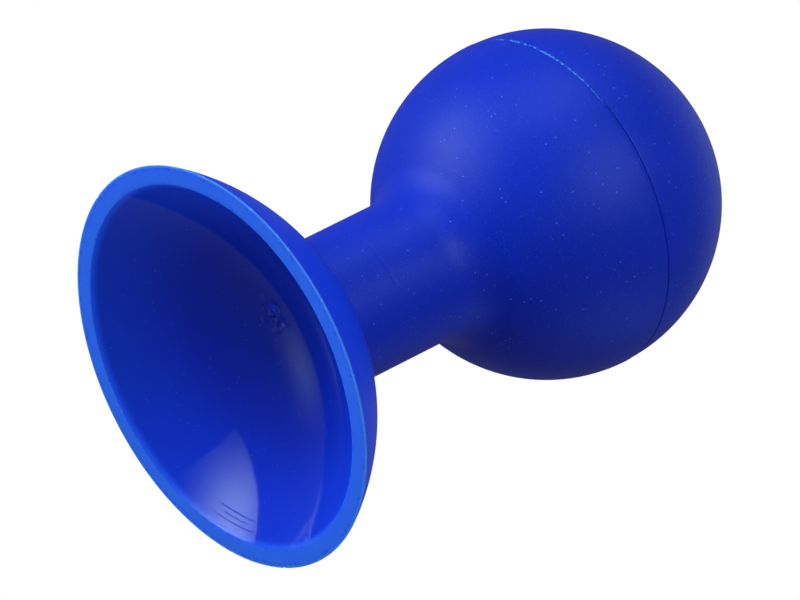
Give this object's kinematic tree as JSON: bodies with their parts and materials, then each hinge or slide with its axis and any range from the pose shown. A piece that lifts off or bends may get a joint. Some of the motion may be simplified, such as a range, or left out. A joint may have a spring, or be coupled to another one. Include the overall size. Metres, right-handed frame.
{
  "type": "squeeze-bulb suction cup",
  "caption": "Silicone vacuum suction cup: a flared cup and straight neck under a hollow squeeze bulb that draws the air out of the cup through the neck.",
  "frame": {"origin": "centre of the sealing lip's flat face, at the bottom of the part", "axes": "+Z runs along the common axis of cup, neck and bulb, from the mouth of the cup to the bulb; the air port in the cup's floor lies towards -X"},
  "size_m": [0.045, 0.045, 0.065],
  "materials": {
    "cup_silicone": "satin",
    "neck_silicone": "satin",
    "bulb_silicone": "satin",
    "bond_silicone": "satin"
  },
  "bodies": {
    "lip": {"sealing_lip": "cup_silicone", "cup_skirt": "cup_silicone"},
    "hub": {"cup_hub": "cup_silicone", "neck_lower": "neck_silicone"},
    "neck": {"neck_upper": "neck_silicone"},
    "bulb": {"front_bulb_shell": "bulb_silicone", "bond_ring": "bond_silicone"},
    "bulb_end": {"rear_bulb_shell": "bulb_silicone"}
  },
  "joints": [
    {"name": "cup_flatten", "type": "slide", "parent": "lip", "child": "hub", "axis": [0, 0, 1], "range_m": [-0.007, 0], "stiffness_N_per_m": 1500, "deforming": ["cup_skirt"]},
    {"name": "neck_bend_x", "type": "hinge", "parent": "hub", "child": "neck", "pos_m": [0, 0, 0.0163], "axis": [1, 0, 0], "range_deg": [-25, 25], "stiffness_Nm_per_rad": 0.8, "deforming": ["neck_lower"]},
    {"name": "neck_bend_y", "type": "hinge", "parent": "neck", "child": "bulb", "pos_m": [0, 0, 0.023], "axis": [0, 1, 0], "range_deg": [-25, 25], "stiffness_Nm_per_rad": 0.8, "deforming": ["neck_upper"]},
    {"name": "bulb_squeeze", "type": "slide", "parent": "bulb", "child": "bulb_end", "axis": [0, 0, 1], "range_m": [-0.012, 0], "stiffness_N_per_m": 1200, "deforming": ["front_bulb_shell", "bond_ring"]}
  ]
}
